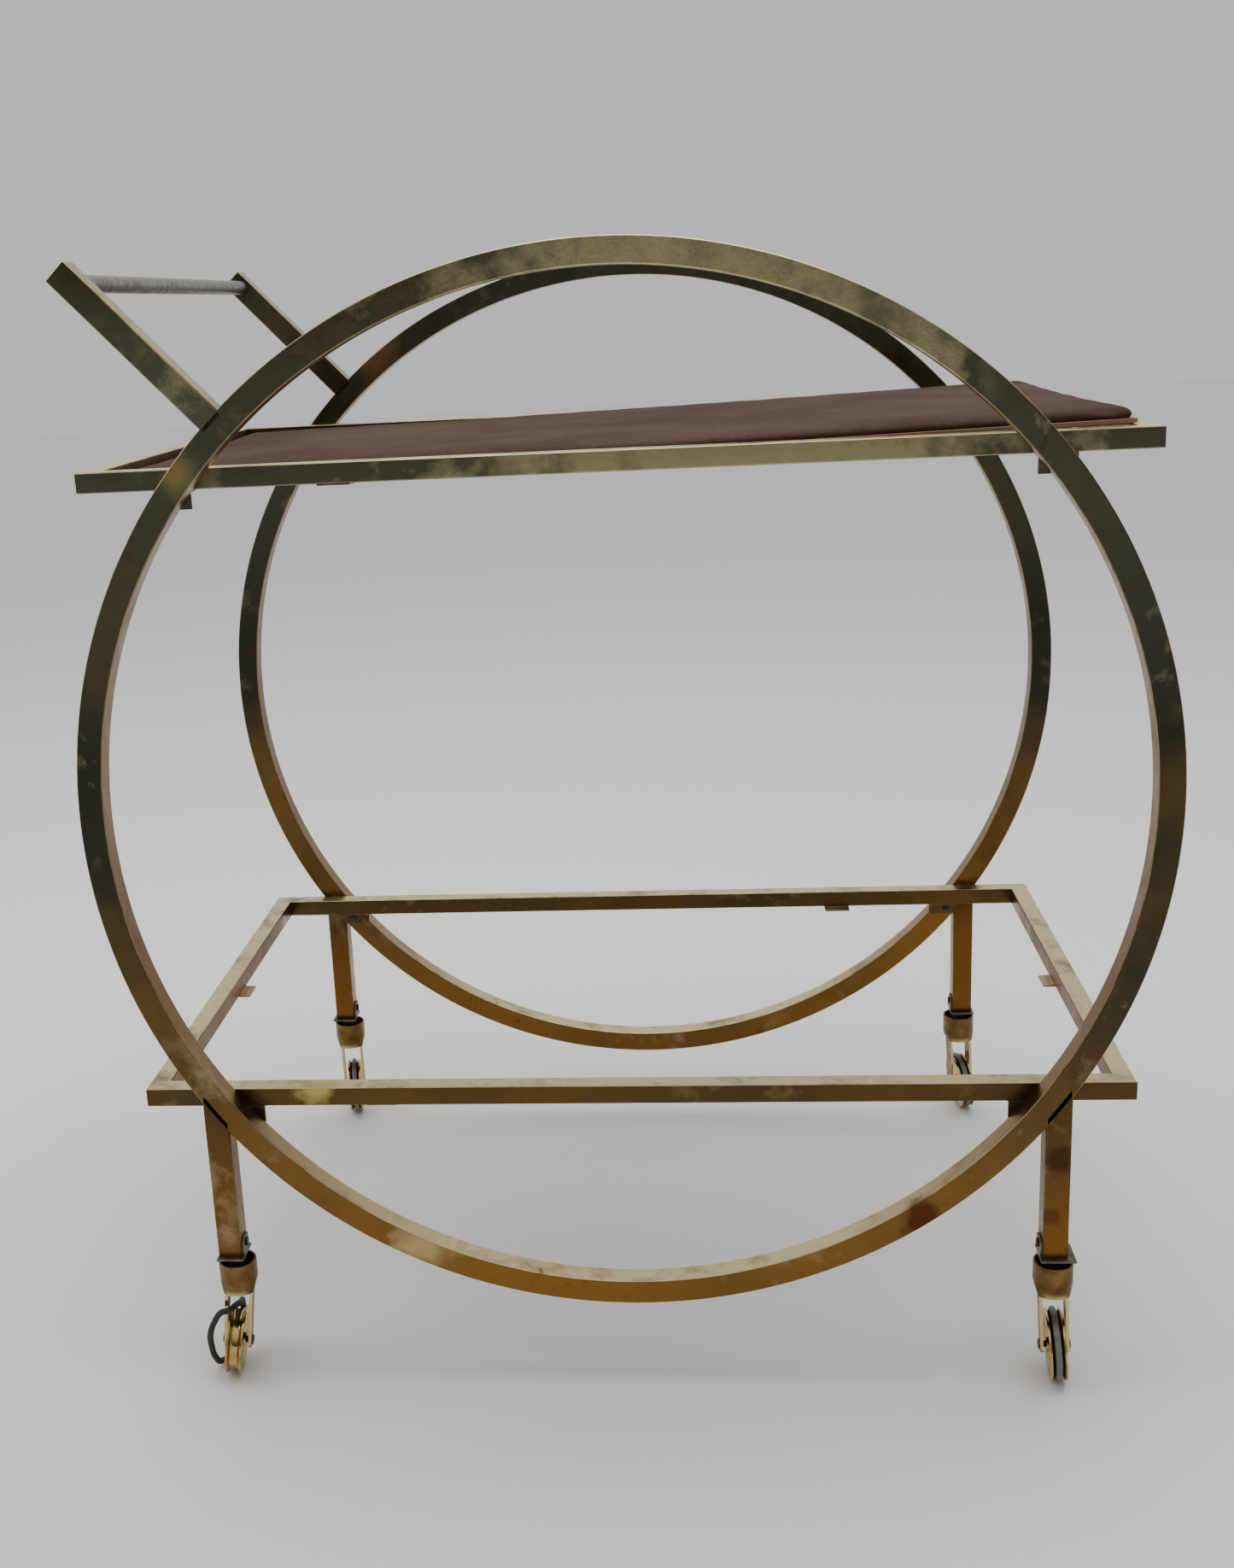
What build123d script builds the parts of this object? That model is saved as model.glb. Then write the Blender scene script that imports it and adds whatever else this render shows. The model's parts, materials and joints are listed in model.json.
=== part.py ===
import os
from math import atan, cos, degrees, radians, sin, sqrt

from build123d import *

os.makedirs("parts", exist_ok=True)

# Driving dimensions, millimetres. X runs along the cart, -X is the handle end, Y is the depth.
hoop_outer_radius = 400.0
hoop_tube = 19.0
tube_wall = 1.5
hoop_centre_z = 474.0
hoop_middle_radius = hoop_outer_radius - hoop_tube / 2
rim_corner = 0.8
cart_half_depth = 250.0
inner_face_y = cart_half_depth - hoop_tube

shelf_half_length = 380.0
rail_width = 16.0
rail_height = 15.0
rail_wall = 1.2
rail_corner = 1.0
upper_rail_top = 731.5
lower_rail_top = 250.5

leg_x = 320.0
leg_y = cart_half_depth - hoop_tube / 2
leg_bottom_z = 113.5
leg_blank = 160.0
tube_corner = 1.0

arm_angle = 133.1
arm_root_radius = 385.0
arm_end_radius = 543.0
bar_diameter = 12.7
bar_radius_position = 531.0
bar_socket = 7.0

clip_thickness = 1.5
clip_reach = 9.0
clip_length = 24.0
clip_corner = 1.5
clip_set_back = 3.0
clip_joggle = 0.6
clip_gap = 0.3
end_clip_y = 12.0
side_clip_x = 193.0

bracket_thickness = 2.0
bracket_length = 27.0
bracket_leg = 14.0
screw_drop = 6.5
screw_stagger = 3.0
screw_shank = 3.6
screw_head = 7.0
screw_head_height = 1.6
screw_grip = 3.2

plate_thickness = 1.6
plate_width = 27.0
tab_width = 15.0
tab_height = 15.0
tab_corner = 4.0
tab_screw_height = 9.0
plate_screw_length = 7.0

drum_radius = 15.0
drum_wall = 1.5
drum_top = 107.0
drum_bottom = 81.5
web_bottom = 93.0
web_top = 96.0
kingpin_radius = 4.0
kingpin_head_radius = 6.5
kingpin_head_height = 2.7
kingpin_collar_radius = 7.0
kingpin_play = 0.3
turning_clearance = 0.06

fork_outer = 10.9
fork_thickness = 2.4
fork_width = 13.0
fork_bend_z = 84.0
trail = 10.0
axle_radius = 2.5
axle_head_radius = 4.2
axle_head_height = 1.8
hub_half = 7.2
rim_half = 6.5
rim_radius = 27.5
tyre_radius = 28.5
tyre_section = 2.5
groove_radius = 23.4
axle_z = tyre_radius

# Each caster: side and end of the cart, kingpin offset from the leg, plate overhang, turn of the
# swivel, lean of its bent fork and how far the wheel has slid along its axle
casters = {
    "front_left": (-1, -1, 2.5, 1.0, 6.0, 8.0, -1.0),
    "front_right": (1, -1, 0.5, 6.0, -4.0, -4.0, 1.0),
    "rear_left": (-1, 1, 2.0, 3.0, 10.0, 0.0, 0.5),
    "rear_right": (1, 1, -2.0, 2.0, 10.0, -6.0, 0.8),
}

pad_length = 731.0
pad_width = 427.0
pad_thickness = 11.0
pad_corner = 5.0
pad_edge = 3.0
cover_thickness = 1.0
board_thickness = 3.0
foam_inset = 4.0
hem = 20.0
pad_gap = 0.3

# The loose tyre's route, from the top of its wheel down behind it and back round the outer fork leg
loose_tyre_bend = 6.0
loose_tyre_route = [
    (-1.0, 12.0, 60.5), (-1.0, 31.5, 50.0), (-1.0, 39.5, 29.5), (-2.0, 35.0, 12.0), (-5.0, 30.5, 3.0),
    (-13.0, 18.5, 1.5), (-16.5, 4.0, 12.5), (-19.7, -5.5, 29.5), (-20.5, -9.8, 45.0), (-17.5, -10.2, 56.0),
    (-13.2, -10.0, 63.5), (-7.0, -9.6, 66.0), (-3.0, 1.0, 64.5),
]


# Hoops, with pilot holes for the bracket screws
def hoop_screw(rail_top):
    height = rail_top - rail_height - bracket_thickness - screw_drop
    return height, sqrt(hoop_middle_radius ** 2 - (height - hoop_centre_z) ** 2)


hoop_screws = []
for rail_top in (upper_rail_top, lower_rail_top):
    screw_z, screw_x = hoop_screw(rail_top)
    hoop_screws += [(-screw_x, screw_z), (screw_x, screw_z)]

for end, name in ((-1, "front"), (1, "rear")):
    with BuildPart() as hoop:
        with BuildSketch(Plane.XZ):
            with Locations((hoop_middle_radius, 0)):
                Rectangle(hoop_tube, hoop_tube)
                Rectangle(hoop_tube - 2 * tube_wall, hoop_tube - 2 * tube_wall, mode=Mode.SUBTRACT)
        revolve(axis=Axis.Z)
        with BuildSketch(Plane.XY.offset(hoop_tube / 2 - 1.5 * tube_wall)):
            for x, z in hoop_screws:
                with Locations((x, (z - hoop_centre_z) * end)):
                    Circle(screw_shank / 2)
        extrude(amount=2 * tube_wall, mode=Mode.SUBTRACT)
        rims = hoop.edges().filter_by(lambda e: e.geom_type == GeomType.CIRCLE and e.radius > 100)
        fillet(rims.group_by(Axis.Z)[0] + rims.group_by(Axis.Z)[-1], rim_corner)
    turned = hoop.part.rotate(Axis.X, -90 if end < 0 else 90)
    placed = turned.moved(Location((0, end * leg_y, hoop_centre_z)))
    placed.label = f"{name}_hoop"
    export_step(placed, f"parts/{name}_hoop.step")


# Legs, coped to the hoop at the top, with a pilot hole for the caster plate screw
for end, depth in ((-1, "front"), (1, "rear")):
    for side, hand in ((-1, "left"), (1, "right")):
        with BuildPart() as leg:
            with BuildSketch(Plane.XY.offset(leg_bottom_z)):
                with Locations((side * leg_x, end * leg_y)):
                    RectangleRounded(hoop_tube, hoop_tube, tube_corner)
                    Rectangle(hoop_tube - 2 * tube_wall, hoop_tube - 2 * tube_wall, mode=Mode.SUBTRACT)
            extrude(amount=leg_blank)
            with BuildSketch(Plane.XZ.offset(-cart_half_depth)):
                with Locations((0, hoop_centre_z)):
                    Circle(hoop_outer_radius)
            extrude(amount=2 * cart_half_depth, mode=Mode.SUBTRACT)
            with BuildSketch(Plane.YZ.offset(side * (leg_x - hoop_tube / 2 + tube_wall / 2))):
                with Locations((end * leg_y, leg_bottom_z + tab_screw_height)):
                    Circle(screw_shank / 2)
            extrude(amount=tube_wall, both=True, mode=Mode.SUBTRACT)
        leg.part.label = f"leg_{depth}_{hand}"
        export_step(leg.part, f"parts/leg_{depth}_{hand}.step")


# Handle arms: tube running outward along a hoop radius, closed at the free end
arm_direction = Vector(cos(radians(arm_angle)), 0, sin(radians(arm_angle)))
for end, name in ((-1, "front"), (1, "rear")):
    root = Vector(0, end * leg_y, hoop_centre_z) + arm_direction * arm_root_radius
    arm_plane = Plane(origin=root, x_dir=(0, 1, 0), z_dir=arm_direction)
    bar_centre = Vector(0, end * inner_face_y, hoop_centre_z) + arm_direction * bar_radius_position
    with BuildPart() as arm:
        with BuildSketch(arm_plane):
            RectangleRounded(hoop_tube, hoop_tube, tube_corner)
        extrude(amount=arm_end_radius - arm_root_radius)
        with BuildSketch(arm_plane):
            Rectangle(hoop_tube - 2 * tube_wall, hoop_tube - 2 * tube_wall)
        extrude(amount=arm_end_radius - arm_root_radius - tube_wall, mode=Mode.SUBTRACT)
        with BuildSketch(Plane.XZ.offset(-cart_half_depth)):
            with Locations((0, hoop_centre_z)):
                Circle(hoop_outer_radius)
        extrude(amount=2 * cart_half_depth, mode=Mode.SUBTRACT)
        with BuildSketch(Plane(origin=bar_centre, x_dir=(1, 0, 0), z_dir=(0, end, 0))):
            Circle(bar_diameter / 2)
        extrude(amount=2 * tube_wall, mode=Mode.SUBTRACT)
    arm.part.label = f"handle_arm_{name}"
    export_step(arm.part, f"parts/handle_arm_{name}.step")

with BuildPart() as bar:
    bar_end = Vector(0, -inner_face_y - bar_socket, hoop_centre_z) + arm_direction * bar_radius_position
    with BuildSketch(Plane(origin=bar_end, x_dir=(1, 0, 0), z_dir=(0, 1, 0))):
        Circle(bar_diameter / 2)
    extrude(amount=2 * (inner_face_y + bar_socket))
    chamfer(bar.edges().filter_by(GeomType.CIRCLE), 0.5)
bar.part.label = "handle_bar"
export_step(bar.part, "parts/handle_bar.step")


# Shelf frames: four mitred tubes each, with pilot holes for the bracket screws
for rail_top, level in ((upper_rail_top, "upper"), (lower_rail_top, "lower")):
    base = rail_top - rail_height
    bracket_x = hoop_screw(rail_top)[1] - screw_stagger
    for angle, hand in ((0, "front"), (90, "right"), (180, "rear"), (270, "left")):
        half = shelf_half_length if angle in (0, 180) else inner_face_y
        reach = inner_face_y if angle in (0, 180) else shelf_half_length
        w, t = rail_width, rail_wall
        outline = [(-half, -reach), (half, -reach), (half - w, -reach + w), (-half + w, -reach + w)]
        hollow = [(-half + t, -reach + t), (half - t, -reach + t),
                  (half - w + t, -reach + w - t), (-half + w - t, -reach + w - t)]
        with BuildPart() as rail:
            with BuildSketch(Plane.XY.offset(base)):
                Polygon(*outline, align=None)
            extrude(amount=rail_height)
            fillet(rail.edges().filter_by(Axis.X), rail_corner)
            with BuildSketch(Plane.XY.offset(base + t)):
                Polygon(*hollow, align=None)
            extrude(amount=rail_height - 2 * t, mode=Mode.SUBTRACT)
            if angle in (0, 180):
                with BuildSketch(Plane.XY.offset(base - t)):
                    with Locations((-bracket_x, -reach + w / 2), (bracket_x, -reach + w / 2)):
                        Circle(screw_shank / 2)
                extrude(amount=3 * t, mode=Mode.SUBTRACT)
        placed = rail.part.rotate(Axis.Z, angle)
        placed.label = f"{level}_rail_{hand}"
        export_step(placed, f"parts/{level}_rail_{hand}.step")


# L brackets tying each rail to the inward face of the hoop, two screws in each
for rail_top, level in ((upper_rail_top, "upper"), (lower_rail_top, "lower")):
    base = rail_top - rail_height
    b = bracket_thickness
    screw_z, screw_x = hoop_screw(rail_top)
    bracket_x = screw_x - screw_stagger
    spots = [(side, end) for end in (-1, 1) for side in (-1, 1)]
    with BuildPart() as brackets:
        for side, end in spots:
            with BuildSketch(Plane.YZ.offset(side * bracket_x - bracket_length / 2)):
                face = end * inner_face_y
                Polygon((face, base), (face - end * bracket_leg, base), (face - end * bracket_leg, base - b),
                        (face - end * b, base - b), (face - end * b, base - bracket_leg),
                        (face, base - bracket_leg), align=None)
            extrude(amount=bracket_length)
        for side, end in spots:
            up = Plane(origin=(side * bracket_x, end * (inner_face_y - rail_width / 2), base - b))
            out = Plane(origin=(side * screw_x, end * (inner_face_y - b), screw_z),
                        x_dir=(1, 0, 0), z_dir=(0, end, 0))
            for hole in (up, out):
                with BuildSketch(hole):
                    Circle(screw_shank / 2)
                extrude(amount=b, mode=Mode.SUBTRACT)
    brackets.part.label = f"{level}_brackets"
    export_step(brackets.part, f"parts/{level}_brackets.step")

    with BuildPart() as screws:
        for side, end in spots:
            up = Plane(origin=(side * bracket_x, end * (inner_face_y - rail_width / 2), base - b))
            out = Plane(origin=(side * screw_x, end * (inner_face_y - b), screw_z),
                        x_dir=(1, 0, 0), z_dir=(0, end, 0))
            for seat in (up, out):
                with BuildSketch(seat):
                    Circle(screw_shank / 2)
                extrude(amount=b + screw_grip)
                with BuildSketch(seat):
                    Circle(screw_head / 2)
                extrude(amount=-screw_head_height)
    screws.part.label = f"{level}_bracket_screws"
    export_step(screws.part, f"parts/{level}_bracket_screws.step")


# Clips under the rails that carry the loose shelf, each joggled down where it leaves its rail
for rail_top, level in ((upper_rail_top, "upper"), (lower_rail_top, "lower")):
    base = rail_top - rail_height
    with BuildPart() as clips:
        covered = rail_width - clip_set_back
        for side in (-1, 1):
            end_clip = Plane(origin=(side * shelf_half_length, end_clip_y, base), x_dir=(-side, 0, 0))
            side_clip = Plane(origin=(side * side_clip_x, side * inner_face_y, base), x_dir=(0, -side, 0))
            for place in (end_clip, side_clip):
                with BuildSketch(place):
                    with Locations((clip_set_back + covered / 2 + clip_gap / 2, 0)):
                        Rectangle(covered + clip_gap, clip_length)
                extrude(amount=-clip_thickness)
                with BuildSketch(place.offset(-clip_joggle)):
                    with Locations((rail_width + clip_reach / 2, 0)):
                        RectangleRounded(clip_reach, clip_length, clip_corner)
                    with Locations((rail_width, 0)):
                        Rectangle(2 * clip_corner, clip_length)
                extrude(amount=-clip_thickness)
    clips.part.label = f"{level}_shelf_clips"
    export_step(clips.part, f"parts/{level}_shelf_clips.step")


# Casters, drawn about the kingpin axis, with the wheel and its axle drawn about the wheel's centre
with BuildPart() as drum:
    with BuildSketch(Plane.XY.offset(drum_bottom)):
        Circle(drum_radius)
    extrude(amount=drum_top - drum_bottom)
    with BuildSketch(Plane.XY.offset(web_top)):
        Circle(drum_radius - drum_wall)
    extrude(amount=drum_top - web_top, mode=Mode.SUBTRACT)
    with BuildSketch(Plane.XY.offset(drum_bottom)):
        Circle(drum_radius - drum_wall)
    extrude(amount=web_bottom - drum_bottom, mode=Mode.SUBTRACT)
    fillet(drum.edges().filter_by(GeomType.CIRCLE).group_by(Axis.Z)[-1], drum_wall / 3)
    for side in (-1, 1):
        with BuildSketch(Plane.XZ):
            Polygon((side * drum_radius, drum_bottom + 10), (side * (fork_outer + 0.5), drum_bottom),
                    (side * drum_radius, drum_bottom), align=None)
        extrude(amount=drum_radius, both=True, mode=Mode.SUBTRACT)

with BuildPart() as fork:
    for side in (-1, 1):
        with BuildSketch(Plane.YZ.offset(side * (fork_outer - fork_thickness / 2))):
            Polygon((-fork_width / 2, web_bottom + 2), (fork_width / 2, web_bottom + 2),
                    (fork_width / 2 + 1.5, drum_bottom - 6), (trail + fork_width / 2, axle_z),
                    (trail - fork_width / 2, axle_z), (-fork_width / 2, drum_bottom - 10), align=None)
            with Locations((trail, axle_z)):
                Circle(fork_width / 2)
                Circle(axle_radius, mode=Mode.SUBTRACT)
        extrude(amount=fork_thickness / 2, both=True)

with BuildPart() as axle:
    with BuildSketch(Plane.YZ.offset(-fork_outer)):
        Circle(axle_radius)
    extrude(amount=2 * fork_outer)
    for start in (-fork_outer - axle_head_height, fork_outer):
        with BuildSketch(Plane.YZ.offset(start)):
            Circle(axle_head_radius)
        extrude(amount=axle_head_height)

with BuildPart() as wheel:
    half_profile = [(hub_half, axle_radius + turning_clearance), (hub_half, 6), (4.6, 8.5), (4.0, 13), (4.4, 21),
                    (rim_half, 25.2), (rim_half, rim_radius), (rim_half - 2, rim_radius), (2.6, groove_radius)]
    ring = half_profile + [(-x, r) for x, r in reversed(half_profile)]
    with BuildSketch(Plane.XZ):
        Polygon(*ring, align=None)
    revolve(axis=Axis.X)

with BuildPart() as tyre:
    with BuildSketch(Plane.XZ):
        with Locations((0, tyre_radius - tyre_section)):
            Circle(tyre_section)
    revolve(axis=Axis.X)

with BuildPart() as kingpin:
    with BuildSketch(Plane.XY.offset(web_bottom - kingpin_play - kingpin_head_height)):
        Circle(kingpin_head_radius)
    extrude(amount=kingpin_head_height)
    with BuildSketch(Plane.XY.offset(web_bottom - kingpin_play - kingpin_head_height)):
        Circle(kingpin_radius)
    extrude(amount=leg_bottom_z - web_bottom + 5)
    with BuildSketch(Plane.XY.offset(web_top + kingpin_play)):
        Circle(kingpin_collar_radius)
    extrude(amount=leg_bottom_z - plate_thickness - web_top - kingpin_play)

with BuildPart() as loose_tyre:
    with BuildLine() as route:
        FilletPolyline(*loose_tyre_route, radius=loose_tyre_bend, close=True)
    for step in route.line.edges():
        with BuildSketch(Plane(origin=step @ 0, z_dir=step % 0)):
            Circle(tyre_section)
        sweep(path=step)

for name, (side, end, offset, overhang, swivel, lean, slide) in casters.items():
    leg_spot = Location((side * leg_x, end * leg_y, 0))
    spot = Location((side * leg_x + offset, end * leg_y, 0))
    with BuildPart() as plate:
        with BuildSketch(Plane.XY.offset(leg_bottom_z - plate_thickness)):
            with Locations((side * (overhang - plate_thickness) / 2, 0)):
                Rectangle(hoop_tube + plate_thickness + overhang, plate_width)
            with Locations((offset, 0)):
                Circle(kingpin_radius, mode=Mode.SUBTRACT)
        extrude(amount=plate_thickness)
        with BuildSketch(Plane.YZ.offset(-side * (hoop_tube + plate_thickness) / 2)):
            with Locations((0, leg_bottom_z + (tab_height - plate_thickness) / 2)):
                Rectangle(tab_width, tab_height + plate_thickness)
            with Locations((0, leg_bottom_z + tab_screw_height)):
                Circle(screw_shank / 2, mode=Mode.SUBTRACT)
        extrude(amount=plate_thickness / 2, both=True)
        fillet(plate.edges().filter_by(Axis.X).group_by(Axis.Z)[-1], tab_corner)
    with BuildPart() as plate_screw:
        seat = Plane(origin=(-side * (hoop_tube / 2 + plate_thickness), 0, leg_bottom_z + tab_screw_height),
                     x_dir=(0, 1, 0), z_dir=(side, 0, 0))
        with BuildSketch(seat):
            Circle(screw_shank / 2)
        extrude(amount=plate_screw_length)
        with BuildSketch(seat):
            Circle(screw_head / 2)
        extrude(amount=-screw_head_height)

    # A leaning fork is set lower, so that every tyre still touches the floor
    turn = spot * Location((0, 0, 0), (0, 0, swivel))
    settle = (fork_bend_z - tyre_section) * (1 - cos(radians(lean)))
    bend = turn * Location((0, 0, fork_bend_z - settle), (0, lean, 0)) * Location((0, 0, -fork_bend_z))
    hub = bend * Location((0, trail, axle_z))
    with BuildPart() as yoke:
        add(drum.part.moved(turn))
        add(fork.part.moved(bend))
        with BuildSketch(Plane(turn).offset(web_bottom - kingpin_head_height)):
            Circle(kingpin_radius + turning_clearance)
        extrude(amount=web_top - web_bottom + 2 * kingpin_head_height, mode=Mode.SUBTRACT)
    pieces = {
        f"caster_plate_{name}": plate.part.moved(leg_spot),
        f"caster_screw_{name}": plate_screw.part.moved(leg_spot),
        f"caster_kingpin_{name}": kingpin.part.moved(spot),
        f"caster_yoke_{name}": yoke.part,
        f"caster_axle_{name}": axle.part.moved(hub),
        f"caster_wheel_{name}": wheel.part.moved(hub * Location((slide, 0, 0))),
    }
    if name == "front_left":
        pieces["slipped_tyre_front_left"] = loose_tyre.part.moved(bend)
    else:
        pieces[f"caster_tyre_{name}"] = tyre.part.moved(hub * Location((slide, 0, 0)))
    for label, piece in pieces.items():
        piece.label = label
        export_step(piece, f"parts/{label}.step")


# Loose pad: board and foam inside a cover, one end down on the clip, the other up on the rail
rest_left = -shelf_half_length + rail_width + 2 * pad_gap
rest_z = upper_rail_top - rail_height - clip_joggle + pad_gap
corner_x = shelf_half_length - rail_width
pad_slope = atan((upper_rail_top + pad_gap - rest_z) / (corner_x - rest_left))
pad_place = Location((rest_left, 0, rest_z), (0, -degrees(pad_slope), 0))
core_top = pad_thickness - cover_thickness

with BuildPart() as cover:
    with BuildSketch():
        with Locations((pad_length / 2, 0)):
            RectangleRounded(pad_length, pad_width, pad_corner)
    extrude(amount=pad_thickness)
    fillet(cover.faces().sort_by(Axis.Z)[-1].edges(), pad_edge)
    with BuildSketch(Plane.XY.offset(cover_thickness)):
        with Locations((pad_length / 2, 0)):
            RectangleRounded(pad_length - 2 * cover_thickness, pad_width - 2 * cover_thickness, pad_corner - 1)
    extrude(amount=board_thickness + 2, mode=Mode.SUBTRACT)
    with BuildSketch(Plane.XY.offset(cover_thickness + board_thickness)):
        with Locations((pad_length / 2, 0)):
            RectangleRounded(pad_length - 2 * foam_inset, pad_width - 2 * foam_inset, pad_edge)
    extrude(amount=core_top - cover_thickness - board_thickness, mode=Mode.SUBTRACT)
    with BuildSketch():
        with Locations((pad_length / 2, 0)):
            RectangleRounded(pad_length - 2 * hem, pad_width - 2 * hem, pad_edge)
    extrude(amount=cover_thickness, mode=Mode.SUBTRACT)

with BuildPart() as board:
    with BuildSketch(Plane.XY.offset(cover_thickness)):
        with Locations((pad_length / 2, 0)):
            RectangleRounded(pad_length - 2 * cover_thickness, pad_width - 2 * cover_thickness, pad_corner - 1)
    extrude(amount=board_thickness)

with BuildPart() as foam:
    with BuildSketch(Plane.XY.offset(cover_thickness + board_thickness)):
        with Locations((pad_length / 2, 0)):
            RectangleRounded(pad_length - 2 * foam_inset, pad_width - 2 * foam_inset, pad_edge)
    extrude(amount=core_top - cover_thickness - board_thickness)

for label, piece in (("pad_cover", cover.part), ("pad_board", board.part), ("pad_foam", foam.part)):
    laid = pad_place * piece
    laid.label = label
    export_step(laid, f"parts/{label}.step")
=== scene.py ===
import json
from math import asin, cos, pi, radians, sin, sqrt

import bmesh
import bpy
from mathutils import Matrix, Vector


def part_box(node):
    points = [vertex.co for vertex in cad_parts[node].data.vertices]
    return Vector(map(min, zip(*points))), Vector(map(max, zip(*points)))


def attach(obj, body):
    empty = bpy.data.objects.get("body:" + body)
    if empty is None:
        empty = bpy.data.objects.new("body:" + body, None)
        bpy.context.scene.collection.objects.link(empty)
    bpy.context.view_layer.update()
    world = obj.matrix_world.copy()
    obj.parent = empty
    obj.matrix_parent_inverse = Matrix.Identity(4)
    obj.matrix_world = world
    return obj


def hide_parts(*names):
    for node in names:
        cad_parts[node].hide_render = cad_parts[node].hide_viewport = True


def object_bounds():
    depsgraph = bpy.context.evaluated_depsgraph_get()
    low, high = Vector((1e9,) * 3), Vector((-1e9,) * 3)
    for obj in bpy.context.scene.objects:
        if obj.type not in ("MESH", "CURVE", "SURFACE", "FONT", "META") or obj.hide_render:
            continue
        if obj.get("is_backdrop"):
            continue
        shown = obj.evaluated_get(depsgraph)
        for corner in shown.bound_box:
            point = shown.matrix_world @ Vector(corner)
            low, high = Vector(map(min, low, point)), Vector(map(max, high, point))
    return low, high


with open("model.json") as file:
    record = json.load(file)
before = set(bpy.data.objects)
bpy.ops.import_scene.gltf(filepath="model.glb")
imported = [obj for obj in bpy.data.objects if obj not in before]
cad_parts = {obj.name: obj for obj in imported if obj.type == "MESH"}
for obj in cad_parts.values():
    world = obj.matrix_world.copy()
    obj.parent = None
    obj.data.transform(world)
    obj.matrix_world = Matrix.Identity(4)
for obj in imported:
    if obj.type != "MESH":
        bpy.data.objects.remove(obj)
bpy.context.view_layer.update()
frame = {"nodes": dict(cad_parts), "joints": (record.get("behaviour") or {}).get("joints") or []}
cadNodes = frame["nodes"]
scene = bpy.context.scene
print("frame loaded", len(cadNodes), "nodes")


# angles in degrees, place in metres, lens in millimetres
camera = {"place": (0.0645, -1.465, 0.8292), "turnLeft": 5.97, "tiltDown": 15.12, "roll": -3.0,
          "lens": 40.17, "shift": (0.0567, -0.0014)}


def makeCamera():
    data = bpy.data.cameras.new("viewCamera")
    data.lens = camera["lens"]
    data.shift_x, data.shift_y = camera["shift"]
    seen = bpy.data.objects.new("viewCamera", data)
    scene.collection.objects.link(seen)
    turn = Matrix.Rotation(radians(camera["turnLeft"]), 4, "Z")
    tilt = Matrix.Rotation(radians(90 - camera["tiltDown"]), 4, "X")
    roll = Matrix.Rotation(radians(camera["roll"]), 4, "Z")
    seen.matrix_world = Matrix.Translation(camera["place"]) @ turn @ tilt @ roll
    scene.camera = seen


makeCamera()
print("camera set")


# short ways to add and join nodes
def addNode(tree, kind, inputs=None, **settings):
    node = tree.nodes.new(kind)
    for name, value in settings.items():
        setattr(node, name, value)
    for name, value in (inputs or {}).items():
        if isinstance(value, bpy.types.NodeSocket):
            tree.links.new(value, node.inputs[name])
        else:
            node.inputs[name].default_value = value
    return node


def calc(tree, operation, a, b=None, clamp=False):
    inputs = {0: a} if b is None else {0: a, 1: b}
    return addNode(tree, "ShaderNodeMath", inputs, operation=operation, use_clamp=clamp).outputs[0]


def noiseAt(tree, where, scale, detail=3.0, rough=0.55):
    return addNode(tree, "ShaderNodeTexNoise", {"Vector": where, "Scale": scale, "Detail": detail,
                                                "Roughness": rough}).outputs["Fac"]


def between(tree, value, low, high, toLow=0.0, toHigh=1.0):
    return addNode(tree, "ShaderNodeMapRange", {"Value": value, "From Min": low, "From Max": high,
                                                "To Min": toLow, "To Max": toHigh}).outputs[0]


def blendColour(tree, amount, first, second):
    node = tree.nodes.new("ShaderNodeMix")
    node.data_type = "RGBA"
    for place, value in ((0, amount), (6, first), (7, second)):
        if isinstance(value, bpy.types.NodeSocket):
            tree.links.new(value, node.inputs[place])
        else:
            node.inputs[place].default_value = value if place == 0 else (*value, 1)
    return node.outputs[2]


def newMaterial(name):
    material = bpy.data.materials.new(name)
    material.use_nodes = True
    tree = material.node_tree
    shader = tree.nodes["Principled BSDF"]
    where = addNode(tree, "ShaderNodeTexCoord").outputs["Object"]
    return material, tree, shader, where


def setBump(tree, shader, height, strength, distance=0.001):
    bump = addNode(tree, "ShaderNodeBump", {"Height": height, "Strength": strength, "Distance": distance})
    tree.links.new(bump.outputs[0], shader.inputs["Normal"])


# brass whose colour goes by height and by which way a face looks: gold below lowZ, partly its own tone and
# partly a painted reflection of a brown floor, dark above highZ and olive above oliveZ; its pale is a painted
# highlight on upward faces and also real wear, its orange a painted floor reflection on sideways faces and
# its edge colour a painted highlight on rounded edges; the four scales are those of its noises
agedBrass = {"olive": (0.100, 0.102, 0.068), "dark": (0.036, 0.036, 0.024), "gold": (0.24, 0.118, 0.026),
             "pale": (0.66, 0.54, 0.29), "floorReflectionOrange": (0.20, 0.095, 0.026), "brown": (0.10, 0.042, 0.012),
             "edge": (0.56, 0.45, 0.22), "lowZ": 0.12, "highZ": 0.44, "oliveZ": (0.52, 0.72),
             "roughness": 0.33, "broad": 5.0, "blotch": 26.0, "stain": 60.0, "fine": 420.0,
             "floorReflectionTint": 0.75, "wornTint": 0.4, "stainTint": 0.85, "edgeHighlightTint": 0.7}
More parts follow.
